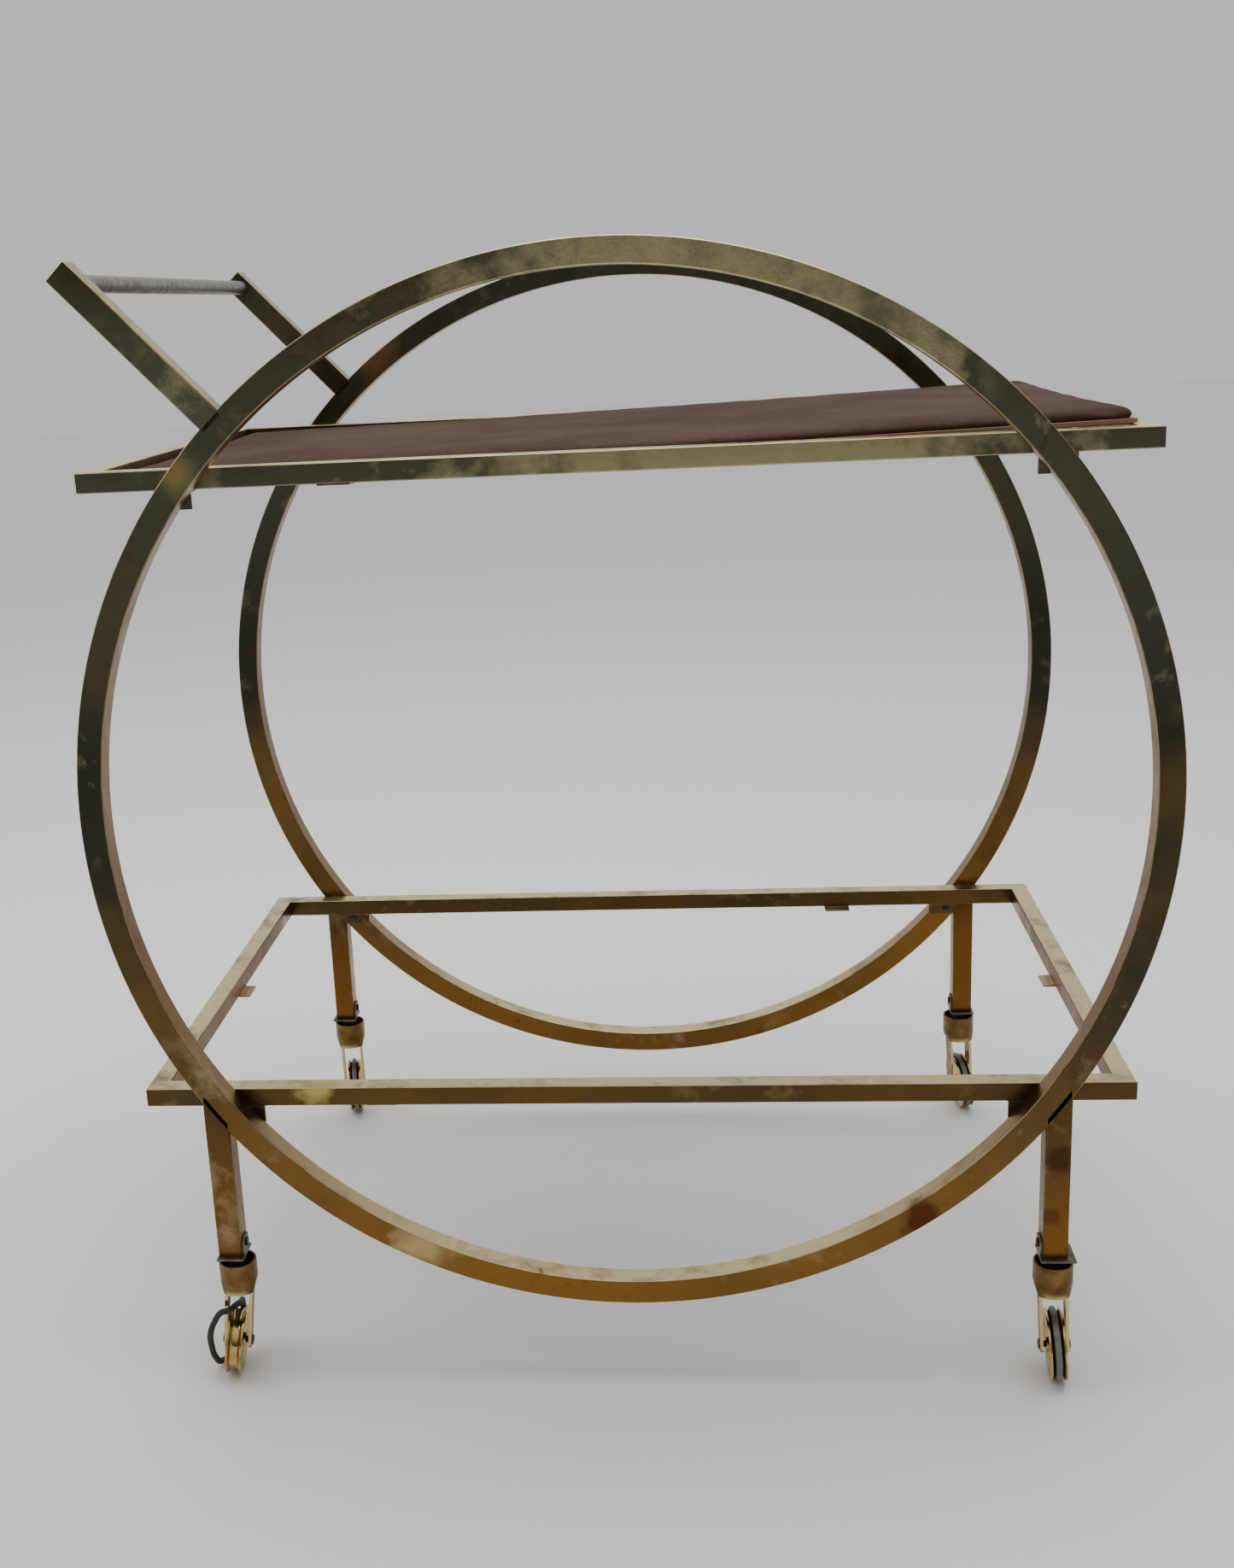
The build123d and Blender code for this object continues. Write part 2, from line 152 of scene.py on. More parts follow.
# single marks: place, radius, tint and strength
hoopMarks = (((0.06, -0.25, 0.87), 0.20, (0.60, 0.50, 0.28), 0.9),      # lighter gold along the top
             ((-0.334, -0.25, 0.62), 0.012, (0.8, 0.78, 0.72), 0.9),    # pale scuff
             ((-0.16, -0.25, 0.125), 0.03, (0.55, 0.42, 0.20), 0.7),    # rubbed patch
             ((0.22, -0.25, 0.145), 0.016, (0.08, 0.02, 0.008), 0.9),   # brown stain
             ((-0.30, -0.25, 0.73), 0.02, (0.42, 0.34, 0.09), 0.6),     # yellow patch
             ((-0.24, 0.231, 0.79), 0.03, (0.36, 0.21, 0.10), 0.8))     # copper patch on the rear hoop
railMarks = (((0.10, -0.231, 0.722), 0.24, (0.50, 0.42, 0.22), 0.8),    # worn gold on the upper rail
             ((-0.245, -0.22, 0.2505), 0.02, (0.62, 0.52, 0.16), 0.6))  # yellow patch on the lower rail
legMarks = (((0.32, -0.25, 0.195), 0.014, (0.05, 0.022, 0.010), 0.85),
            ((0.315, -0.25, 0.15), 0.007, (0.10, 0.035, 0.015), 0.8))


def makeAgedBrass(name, look, edgesBy):
    material, tree, shader, where = newMaterial(name)
    place = addNode(tree, "ShaderNodeSeparateXYZ", {0: where})
    facing = addNode(tree, "ShaderNodeSeparateXYZ",
                     {0: addNode(tree, "ShaderNodeTexCoord").outputs["Normal"]})
    broad = noiseAt(tree, where, look["broad"], 4.0)
    blotch = noiseAt(tree, where, look["blotch"], 5.0, 0.62)
    fine = noiseAt(tree, where, look["fine"], 3.0)
    # gold low down is partly the brass's own tone and partly a painted reflection of a brown floor; higher up
    # it turns dark, then olive
    height = between(tree, place.outputs["Z"], look["lowZ"], look["highZ"])
    darkening = calc(tree, "ADD", height, between(tree, broad, 0.35, 0.65, -0.3, 0.3), clamp=True)
    upper = blendColour(tree, between(tree, place.outputs["Z"], *look["oliveZ"]), look["dark"], look["olive"])
    colour = blendColour(tree, darkening, look["gold"], upper)
    # faces that look up turn pale as a painted highlight from the ceiling, and those that look sideways turn
    # orange as a painted reflection of a brown floor
    upward = between(tree, facing.outputs["Z"], 0.35, 0.9)
    upward = calc(tree, "MULTIPLY", upward, between(tree, blotch, 0.25, 0.5))
    colour = blendColour(tree, upward, colour, look["pale"])
    sidewaysReflection = between(tree, calc(tree, "ABSOLUTE", facing.outputs["X"]), 0.4, 0.8)
    colour = blendColour(tree, calc(tree, "MULTIPLY", sidewaysReflection, look["floorReflectionTint"]), colour, look["floorReflectionOrange"])
    worn = calc(tree, "MULTIPLY", between(tree, blotch, 0.54, 0.72), between(tree, broad, 0.5, 0.62))
    colour = blendColour(tree, calc(tree, "MULTIPLY", worn, look["wornTint"]), colour, look["pale"])
    spots = noiseAt(tree, where, look["stain"], 6.0, 0.7)
    stain = between(tree, spots, 0.60, 0.72, 0.0, look["stainTint"])
    colour = blendColour(tree, stain, colour, look["brown"])
    # rounded tube edges get a painted highlight; a rounded tube edge is where a face looks along neither
    # axis: 4s(1 - s) is 1 there and 0 on the flats
    edge = None
    for axis in edgesBy:
        square = calc(tree, "POWER", calc(tree, "ABSOLUTE", facing.outputs[axis]), 2.0)
        slanted = calc(tree, "MULTIPLY", square, calc(tree, "SUBTRACT", 1.0, square))
        slanted = calc(tree, "MULTIPLY", slanted, 4.0)
        edge = slanted if edge is None else calc(tree, "MAXIMUM", edge, slanted)
    edge = between(tree, edge, 0.45, 0.95, 0.0, look["edgeHighlightTint"])
    edge = calc(tree, "MULTIPLY", edge, between(tree, blotch, 0.35, 0.6))
    colour = blendColour(tree, edge, colour, look["edge"])
    for spot, radius, tint, amount in look["marks"]:
        away = addNode(tree, "ShaderNodeVectorMath", {0: where, 1: spot}, operation="DISTANCE")
        unevenness = between(tree, blotch, 0.3, 0.7, -0.6 * radius, 0.6 * radius)
        ragged = calc(tree, "ADD", away.outputs["Value"], unevenness)
        colour = blendColour(tree, between(tree, ragged, 0.4 * radius, radius, amount, 0.0), colour, tint)
    tree.links.new(colour, shader.inputs["Base Color"])
    shader.inputs["Metallic"].default_value = 1.0
    rough = between(tree, blotch, 0.3, 0.7, look["roughness"] - 0.08, look["roughness"] + 0.12)
    rough = calc(tree, "ADD", rough, between(tree, fine, 0.3, 0.7, -0.05, 0.05))
    tree.links.new(rough, shader.inputs["Roughness"])
    setBump(tree, shader, calc(tree, "ADD", fine, calc(tree, "MULTIPLY", blotch, 0.6)), 0.12, 0.0004)
    return material


hoopBrass = makeAgedBrass("hoopBrass", {**agedBrass, "marks": hoopMarks}, ("Y",))
railLook = {**agedBrass, "gold": (0.13, 0.068, 0.018), "marks": railMarks}
railBrass = makeAgedBrass("railBrass", railLook, ("Y", "Z"))
legLook = {**agedBrass, "gold": (0.20, 0.088, 0.019), "marks": legMarks}
legBrass = makeAgedBrass("legBrass", legLook, ("Y", "Z"))


# wheels: bright brass with duller clouds, and the roughness of each
polishedLook = {"bright": (0.62, 0.46, 0.19), "dull": (0.34, 0.22, 0.075), "clouds": 90.0,
                "smoothest": 0.10, "roughest": 0.32}


def makePolishedBrass(name, look):
    material, tree, shader, where = newMaterial(name)
    dull = noiseAt(tree, where, look["clouds"], 4.0)
    colour = blendColour(tree, between(tree, dull, 0.4, 0.7), look["bright"], look["dull"])
    tree.links.new(colour, shader.inputs["Base Color"])
    shader.inputs["Metallic"].default_value = 1.0
    rough = between(tree, dull, 0.3, 0.7, look["smoothest"], look["roughest"])
    tree.links.new(rough, shader.inputs["Roughness"])
    setBump(tree, shader, noiseAt(tree, where, 700.0), 0.05, 0.0003)
    return material


# forks: brown faces, with the narrow front and back edges below the drum made bright, partly rubbed polish
# and partly a painted highlight
forkLook = {"light": (0.22, 0.132, 0.048), "dark": (0.12, 0.066, 0.022), "rubbedAndLit": (0.70, 0.54, 0.24),
            "rubbedAndLitZ": (0.080, 0.086), "roughness": 0.38, "rubbedRoughness": 0.16}


def makeForkBrass(name, look):
    material, tree, shader, where = newMaterial(name)
    place = addNode(tree, "ShaderNodeSeparateXYZ", {0: where})
    facing = addNode(tree, "ShaderNodeSeparateXYZ",
                     {0: addNode(tree, "ShaderNodeTexCoord").outputs["Normal"]})
    blotch = noiseAt(tree, where, 70.0, 5.0, 0.6)
    colour = blendColour(tree, between(tree, blotch, 0.35, 0.65), look["light"], look["dark"])
    # the bright front and back edges are partly rubbed polish and partly a painted highlight
    endwise = between(tree, calc(tree, "ABSOLUTE", facing.outputs["Y"]), 0.75, 0.92)
    below = between(tree, place.outputs["Z"], *look["rubbedAndLitZ"], 1.0, 0.0)
    bright = calc(tree, "MULTIPLY", endwise, below)
    colour = blendColour(tree, bright, colour, look["rubbedAndLit"])
    tree.links.new(colour, shader.inputs["Base Color"])
    shader.inputs["Metallic"].default_value = 1.0
    rough = between(tree, bright, 0.0, 1.0, look["roughness"], look["rubbedRoughness"])
    rough = calc(tree, "ADD", rough, between(tree, blotch, 0.3, 0.7, -0.05, 0.08))
    tree.links.new(rough, shader.inputs["Roughness"])
    setBump(tree, shader, blotch, 0.1, 0.0004)
    return material


# each steel: its two greys, how strongly it rusts, and its roughness
plateLook = {"light": (0.20, 0.185, 0.145), "dark": (0.085, 0.075, 0.055), "rust": 0.8, "roughness": 0.45}
screwLook = {"light": (0.10, 0.085, 0.07), "dark": (0.04, 0.03, 0.025), "rust": 0.6, "roughness": 0.5}
barLook = {"light": (0.23, 0.22, 0.20), "dark": (0.15, 0.142, 0.125), "rust": 0.2, "roughness": 0.42}
rustTint = (0.10, 0.035, 0.012)


def makeSteel(name, look):
    material, tree, shader, where = newMaterial(name)
    wear = noiseAt(tree, where, 120.0, 5.0, 0.65)
    colour = blendColour(tree, between(tree, wear, 0.35, 0.65), look["light"], look["dark"])
    rusty = between(tree, noiseAt(tree, where, 240.0, 6.0, 0.7), 0.58, 0.7, 0.0, look["rust"])
    colour = blendColour(tree, rusty, colour, rustTint)
    tree.links.new(colour, shader.inputs["Base Color"])
    tree.links.new(between(tree, rusty, 0.0, 1.0, 0.9, 0.2), shader.inputs["Metallic"])
    rough = between(tree, wear, 0.3, 0.7, look["roughness"] - 0.08, look["roughness"] + 0.12)
    tree.links.new(rough, shader.inputs["Roughness"])
    setBump(tree, shader, wear, 0.2, 0.0004)
    return material


greyRubberLook = {"rubber": (0.13, 0.13, 0.12), "dust": (0.22, 0.21, 0.19)}
blackRubberLook = {"rubber": (0.012, 0.012, 0.013), "dust": (0.04, 0.038, 0.036)}


def makeRubber(name, look):
    material, tree, shader, where = newMaterial(name)
    grime = noiseAt(tree, where, 160.0, 5.0, 0.65)
    colour = blendColour(tree, between(tree, grime, 0.4, 0.7), look["rubber"], look["dust"])
    tree.links.new(colour, shader.inputs["Base Color"])
    tree.links.new(between(tree, grime, 0.3, 0.7, 0.55, 0.85), shader.inputs["Roughness"])
    setBump(tree, shader, noiseAt(tree, where, 900.0, 4.0), 0.25, 0.0003)
    return material


polishedBrass = makePolishedBrass("polishedBrass", polishedLook)
forkBrass = makeForkBrass("forkBrass", forkLook)
plateSteel = makeSteel("plateSteel", plateLook)
screwSteel = makeSteel("screwSteel", screwLook)
barSteel = makeSteel("barSteel", barLook)
greyRubber = makeRubber("greyRubber", greyRubberLook)
blackRubber = makeRubber("blackRubber", blackRubberLook)


velvetLook = {"pile": (0.050, 0.028, 0.019), "brushed": (0.078, 0.047, 0.032), "deep": (0.022, 0.011, 0.008),
              "roughness": 0.92, "specular": 0.1, "sheen": 0.06, "sheenTint": (0.55, 0.40, 0.30, 1)}


def makeVelvet(name, look):
    material, tree, shader, where = newMaterial(name)
    nap = noiseAt(tree, where, 9.0, 3.0)
    pile = noiseAt(tree, where, 1500.0, 2.0)
    tuft = noiseAt(tree, where, 240.0, 4.0, 0.7)
    colour = blendColour(tree, between(tree, nap, 0.38, 0.66), look["pile"], look["brushed"])
    colour = blendColour(tree, between(tree, tuft, 0.45, 0.75, 0.0, 0.55), colour, look["deep"])
    tree.links.new(colour, shader.inputs["Base Color"])
    shader.inputs["Roughness"].default_value = look["roughness"]
    shader.inputs["Specular IOR Level"].default_value = look["specular"]
    shader.inputs["Sheen Weight"].default_value = look["sheen"]
    shader.inputs["Sheen Roughness"].default_value = 0.4
    shader.inputs["Sheen Tint"].default_value = look["sheenTint"]
    setBump(tree, shader, calc(tree, "ADD", pile, tuft), 0.5, 0.0006)
    return material


boardLook = {"dark": (0.20, 0.12, 0.065), "light": (0.34, 0.22, 0.13), "roughness": 0.8}


def makeBoard(name, look):
    material, tree, shader, where = newMaterial(name)
    fibres = noiseAt(tree, where, 300.0, 6.0, 0.7)
    tree.links.new(blendColour(tree, fibres, look["dark"], look["light"]), shader.inputs["Base Color"])
    shader.inputs["Roughness"].default_value = look["roughness"]
    setBump(tree, shader, fibres, 0.2, 0.0005)
    return material


velvet = makeVelvet("velvet", velvetLook)
board = makeBoard("board", boardLook)
print("materials made")

# the first start that fits a CAD node's name gives its finish, and the other nodes are rail brass
finishByStart = (("slipped", blackRubber), ("caster_tyre", greyRubber), ("caster_wheel", polishedBrass),
                 ("caster_yoke", forkBrass), ("caster_screw", screwSteel), ("caster_", plateSteel),
                 ("upper_bracket_screws", screwSteel), ("lower_bracket_screws", screwSteel),
                 ("handle_bar", barSteel), ("pad_board", board), ("pad_", velvet),
                 ("front_hoop", hoopBrass), ("rear_hoop", hoopBrass))
for name, node in cadNodes.items():
    chosen = next((finish for start, finish in finishByStart if name.startswith(start)), railBrass)
    node.data.materials.clear()
    node.data.materials.append(chosen)


def newPiece(name, mesh, body, material, replaced):
    piece = bpy.data.objects.new(name, mesh)
    scene.collection.objects.link(piece)
    mesh.materials.clear()
    mesh.materials.append(material)
    for face in mesh.polygons:
        face.use_smooth = True
    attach(piece, body)
    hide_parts(*replaced)
    return piece


def evenNormals(piece):
    # large flat faces set the shading, so a narrow rounded edge doesn't darken them
    weighted = piece.modifiers.new("evenNormals", "WEIGHTED_NORMAL")
    weighted.keep_sharp = False
    weighted.weight = 60


def keptMesh(piece):
    # what an object's curve or modifiers give, as a plain mesh
    return bpy.data.meshes.new_from_object(piece.evaluated_get(bpy.context.evaluated_depsgraph_get()))


def meshFromTree(name, tree, material, values, start=None):
    # runs a Geometry Nodes tree on a start mesh, or on none, and keeps the result as a plain mesh
    holder = bpy.data.objects.new(name + "Start", start or bpy.data.meshes.new(name + "Start"))
    scene.collection.objects.link(holder)
    modifier = holder.modifiers.new("nodes", "NODES")
    modifier.node_group = tree
    sockets = {item.name: item.identifier for item in tree.interface.items_tree if item.in_out == "INPUT"}
    for key, value in {**values, "Material": material}.items():
        modifier[sockets[key]] = value
    mesh = keptMesh(holder)
    mesh.name = name
    holder.modifiers.remove(modifier)
    bpy.data.objects.remove(holder)
    return mesh


def newTree(name, sizes):
    tree = bpy.data.node_groups.new(name, "GeometryNodeTree")
    tree.interface.new_socket("Geometry", in_out="INPUT", socket_type="NodeSocketGeometry")
    for key, value in sizes.items():
        kind = "NodeSocketInt" if isinstance(value, int) else "NodeSocketFloat"
        kind = "NodeSocketVector" if isinstance(value, tuple) else kind
        tree.interface.new_socket(key, in_out="INPUT", socket_type=kind).default_value = value
    tree.interface.new_socket("Material", in_out="INPUT", socket_type="NodeSocketMaterial")
    tree.interface.new_socket("Geometry", in_out="OUTPUT", socket_type="NodeSocketGeometry")
    given = tree.nodes.new("NodeGroupInput")
    return tree, given


def endTree(tree, given, geometry):
    real = addNode(tree, "GeometryNodeRealizeInstances", {0: geometry})
    painted = addNode(tree, "GeometryNodeSetMaterial", {"Geometry": real.outputs[0],
                                                        "Material": given.outputs["Material"]})
    out = tree.nodes.new("NodeGroupOutput")
    tree.links.new(painted.outputs[0], out.inputs[0])
    return tree


# the two hoops: a rounded square swept round a circle, sized from the CAD hoop
hoop = {"corner": 0.0011, "cornerSteps": 4, "steps": 220}
hoopLow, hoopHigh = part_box("front_hoop")
hoopCentre = (hoopLow + hoopHigh) / 2
hoopRadius = (hoopHigh.x - hoopLow.x) / 2
tubeSize = hoopHigh.y - hoopLow.y


def makeHoopTree():
    tree, given = newTree("hoopSweep", {"Radius": 0.39, "Tube": 0.019, "Corner": 0.001, "Corner Steps": 4,
                                        "Steps": 220, "Place": (0.0, 0.0, 0.0)})
    circle = addNode(tree, "GeometryNodeCurvePrimitiveCircle", {"Resolution": given.outputs["Steps"],
                                                                "Radius": given.outputs["Radius"]})
    square = addNode(tree, "GeometryNodeCurvePrimitiveQuadrilateral",
                     {"Width": given.outputs["Tube"], "Height": given.outputs["Tube"]})
    rounded = addNode(tree, "GeometryNodeFilletCurve",
                      {"Curve": square.outputs[0], "Radius": given.outputs["Corner"],
                       "Count": given.outputs["Corner Steps"]}, mode="POLY")
    swept = addNode(tree, "GeometryNodeCurveToMesh",
                    {"Curve": circle.outputs[0], "Profile Curve": rounded.outputs[0]})
    upright = addNode(tree, "GeometryNodeTransform",
                      {"Geometry": swept.outputs[0], "Rotation": (pi / 2, 0, 0),
                       "Translation": given.outputs["Place"]})
    return endTree(tree, given, upright.outputs[0])


hoopTree = makeHoopTree()
for end, nodeName in (("front", "front_hoop"), ("rear", "rear_hoop")):
    low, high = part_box(nodeName)
    mesh = meshFromTree(end + "Hoop", hoopTree, hoopBrass,
                        {"Radius": hoopRadius - tubeSize / 2, "Tube": tubeSize, "Corner": hoop["corner"],
                         "Corner Steps": hoop["cornerSteps"], "Steps": hoop["steps"],
                         "Place": tuple((low + high) / 2)})
    evenNormals(newPiece(end + "Hoop", mesh, "frame", hoopBrass, [nodeName]))
print("hoops made")


# rails, legs and arms: square tube with rounded edges, let into a hoop by joinDepth
straightTube = {"corner": 0.001, "steps": 3, "joinDepth": 0.004}


def makeTubeMesh(name, nearEnd, farEnd, roundFar=False):
    # nearEnd and farEnd are the four corners at each end, in the same order round the tube
    bm = bmesh.new()
    near = [bm.verts.new(p) for p in nearEnd]
    far = [bm.verts.new(p) for p in farEnd]
    for i in range(4):
        j = (i + 1) % 4
        bm.faces.new((near[i], near[j], far[j], far[i]))
    bm.faces.new(reversed(near))
    bm.faces.new(far)
    bmesh.ops.recalc_face_normals(bm, faces=bm.faces)
    longEdges = [e for e in bm.edges if (e.verts[0] in near) != (e.verts[1] in near)]
    if roundFar:
        longEdges += [e for e in bm.edges if e.verts[0] in far and e.verts[1] in far]
    bmesh.ops.bevel(bm, geom=longEdges, offset=straightTube["corner"], segments=straightTube["steps"],
                    profile=0.5, affect="EDGES")
    mesh = bpy.data.meshes.new(name)
    bm.to_mesh(mesh)
    bm.free()
    return mesh


def makeRail(level, side):
    nodeName = f"{level}_rail_{side}"
    low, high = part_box(nodeName)
    alongX = side in ("front", "rear")
    width = (high.y - low.y) if alongX else (high.x - low.x)
    outer = {"front": low.y, "rear": high.y, "left": low.x, "right": high.x}[side]
    inner = outer + width if side in ("front", "left") else outer - width
    start, stop = (low.x, high.x) if alongX else (low.y, high.y)

    def corner(along, inset, across, z):
        along += inset
        return (along, across, z) if alongX else (across, along, z)

    ring = ((outer, low.z, 0), (outer, high.z, 0), (inner, high.z, width), (inner, low.z, width))
    near = [corner(start, inset, across, z) for across, z, inset in ring]
    far = [corner(stop, -inset, across, z) for across, z, inset in ring]
    # the inner side is shorter by the width at both ends, which mitres the corners
    mesh = makeTubeMesh(f"{level}Rail{side.title()}", near, far)
    evenNormals(newPiece(mesh.name, mesh, "frame", railBrass, [nodeName]))


for level in ("upper", "lower"):
    for side in ("front", "rear", "left", "right"):
        makeRail(level, side)


def hoopUnderside(x):
    # height of the hoop's outer surface at x, raised a little so that a leg reaches into it
    radius = hoopRadius - straightTube["joinDepth"]
    return hoopCentre.z - sqrt(radius ** 2 - (x - hoopCentre.x) ** 2)


def makeLeg(end, side):
    nodeName = f"leg_{end}_{side}"
    low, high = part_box(nodeName)
    ring = ((low.x, low.y), (high.x, low.y), (high.x, high.y), (low.x, high.y))
    near = [(x, y, low.z) for x, y in ring]
    far = [(x, y, hoopUnderside(x)) for x, y in ring]
    mesh = makeTubeMesh(f"leg{end.title()}{side.title()}", near, far)
    evenNormals(newPiece(mesh.name, mesh, "frame", legBrass, [nodeName]))


for end in ("front", "rear"):
    for side in ("left", "right"):
        makeLeg(end, side)


def armAxis():
    # the handle bar lies on both arms' axes, so hoop centre to bar gives their direction
    low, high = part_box("handle_bar")
    bar = (low + high) / 2
    return Vector((bar.x - hoopCentre.x, 0, bar.z - hoopCentre.z)).normalized()


def makeArm(end):
    nodeName = f"handle_arm_{end}"
    low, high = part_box(nodeName)
    along = armAxis()
    across = Vector((-along.z, 0, along.x))
    middle = Vector((hoopCentre.x, (low.y + high.y) / 2, hoopCentre.z))
    half = tubeSize / 2
    tip = (high.z - hoopCentre.z - half * abs(across.z)) / along.z
    root = hoopRadius - straightTube["joinDepth"]
    ring = ((-half, -half), (half, -half), (half, half), (-half, half))
    near = [middle + along * root + across * a + Vector((0, b, 0)) for a, b in ring]
    far = [middle + along * tip + across * a + Vector((0, b, 0)) for a, b in ring]
    mesh = makeTubeMesh(f"handleArm{end.title()}", near, far, roundFar=True)
    evenNormals(newPiece(mesh.name, mesh, "frame", legBrass, [nodeName]))


makeArm("front")
makeArm("rear")
print("rails, legs and arms made")


def makeTurned(name, outline, axis, middle, steps=96, closed=True):
    # a turned mesh about an axis through middle; outline is (along the axis, away from it) in millimetres
    side = axis.orthogonal().normalized()
    other = axis.cross(side)
    bm = bmesh.new()
    rings = []
    for step in range(steps):
        angle = 2 * pi * step / steps
        out = side * cos(angle) + other * sin(angle)
        rings.append([bm.verts.new(middle + axis * (a / 1000) + out * (r / 1000)) for a, r in outline])
    count = len(outline)
    for step in range(steps):
        this, following = rings[step], rings[(step + 1) % steps]
        for i in range(count if closed else count - 1):
            j = (i + 1) % count
            bm.faces.new((this[i], this[j], following[j], following[i]))
    bmesh.ops.remove_doubles(bm, verts=bm.verts, dist=1e-7)
    bmesh.ops.recalc_face_normals(bm, faces=bm.faces)
    mesh = bpy.data.meshes.new(name)
    bm.to_mesh(mesh)
    bm.free()
    return mesh


def arcPoints(a, r, radius, start, stop, steps):
    angles = [radians(start + (stop - start) * i / steps) for i in range(steps + 1)]
    return [(a + radius * cos(angle), r + radius * sin(angle)) for angle in angles]


# one half of the wheel, outwards from its middle plane, in millimetres: its dish runs from hub to lip, and
# its groove holds the tyre
wheelDisc = {"halfHub": 7.2, "bore": 2.66, "hubRadius": 6.0, "hubCorner": 0.5, "rim": 27.5, "halfRim": 6.5,
             "lip": 1.0,
             "dish": [(5.4, 6.4), (4.8, 7.6), (4.3, 9.6), (4.05, 12.5), (4.05, 16.0), (4.15, 19.0),
                      (4.5, 21.4), (5.1, 23.0), (5.8, 24.2), (6.3, 25.3)],
             "groove": [(4.1, 26.2), (3.6, 25.0), (3.0, 24.0), (1.6, 23.5)]}


def wheelOutline():
    d = wheelDisc
    corner = d["hubCorner"]
    hub = [(d["halfHub"], d["bore"]),
           *arcPoints(d["halfHub"] - corner, d["hubRadius"] - corner, corner, 0, 90, 3)]
    lip = arcPoints(d["halfRim"] - d["lip"], d["rim"] - d["lip"], d["lip"], 0, 165, 8)
    half = hub + d["dish"] + lip + d["groove"]
    return half + [(-a, r) for a, r in reversed(half)]


tyreShape = {"section": 2.5, "outer": 28.5, "sides": 18}


def tyreOutline():
    d = tyreShape
    return arcPoints(0, d["outer"] - d["section"], d["section"], 0, 360, d["sides"])[:-1]


# the axle's two heads, in millimetres: reach is from the wheel's middle to the tip, and the head's points
# are (back from the tip, away from the axis)
axleShape = {"reach": 12.7, "steps": 32,
             "head": ((1.8, 2.4), (1.8, 4.1), (1.6, 4.2), (0.9, 4.1), (0.35, 3.3), (0.05, 1.8), (0, 0.9),
                      (0, 0.0001))}


def axleOutline():
    head = [(axleShape["reach"] - back, r) for back, r in axleShape["head"]]
    return [(-a, r) for a, r in reversed(head)] + head


joints = {joint["name"]: joint for joint in frame["joints"]}
corners = ("front_left", "front_right", "rear_left", "rear_right")


def camel(words):
    first, *rest = words.split("_")
    return first + "".join(word.title() for word in rest)


def nodeMiddle(nodeName):
    # the middle of a turned CAD node lies on its axis
    low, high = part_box(nodeName)
    return (low + high) / 2


for spot in corners:
    axis = Vector(joints[spot + "_roll"]["axis"]).normalized()
    title = camel("caster_" + spot)
    hubPlace = nodeMiddle("caster_wheel_" + spot)
    wheel = makeTurned(title + "Wheel", wheelOutline(), axis, hubPlace)
    evenNormals(newPiece(wheel.name, wheel, "wheel_" + spot, polishedBrass, ["caster_wheel_" + spot]))
    axle = makeTurned(title + "Axle", axleOutline(), axis, nodeMiddle("caster_axle_" + spot),
                      axleShape["steps"], closed=False)
    newPiece(axle.name, axle, "swivel_" + spot, plateSteel, ["caster_axle_" + spot])
    if spot != "front_left":  # that wheel is bare, and its tyre comes below
        tyre = makeTurned(title + "Tyre", tyreOutline(), axis, hubPlace)
        newPiece(tyre.name, tyre, "wheel_" + spot, greyRubber, ["caster_tyre_" + spot])
print("wheels made")


# pieces taken from the CAD with their sharp edges broken; the angle is in degrees
brokenEdge = {"width": 0.0003, "segments": 2, "sharperThan": 35}


def softened(nodeName, body, material):
    bm = bmesh.new()
    bm.from_mesh(cadNodes[nodeName].data)
    bmesh.ops.remove_doubles(bm, verts=bm.verts, dist=2e-6)
    bmesh.ops.dissolve_limit(bm, angle_limit=radians(1.0), verts=bm.verts, edges=bm.edges)
    mesh = bpy.data.meshes.new(camel(nodeName))
    bm.to_mesh(mesh)
    bm.free()
    piece = newPiece(mesh.name, mesh, body, material, [nodeName])
    broken = piece.modifiers.new("brokenEdges", "BEVEL")
    broken.width = brokenEdge["width"]
    broken.segments = brokenEdge["segments"]
    broken.angle_limit = radians(brokenEdge["sharperThan"])
    evenNormals(piece)


for spot in corners:
    softened("caster_yoke_" + spot, "swivel_" + spot, forkBrass)
    softened("caster_plate_" + spot, "frame", plateSteel)
for level in ("upper", "lower"):
    softened(level + "_brackets", "frame", railBrass)
    softened(level + "_shelf_clips", "frame", railBrass)
print("casters, brackets and clips made")


# slotted pan heads, in millimetres; turnFirst and turnStep are each slot's angle in radians
screw = {"headRadius": 3.5, "headHeight": 1.7, "slotWidth": 0.9, "slotDepth": 0.8, "slotLength": 9.0,
         "steps": 28, "turnFirst": 0.4, "turnStep": 1.7}


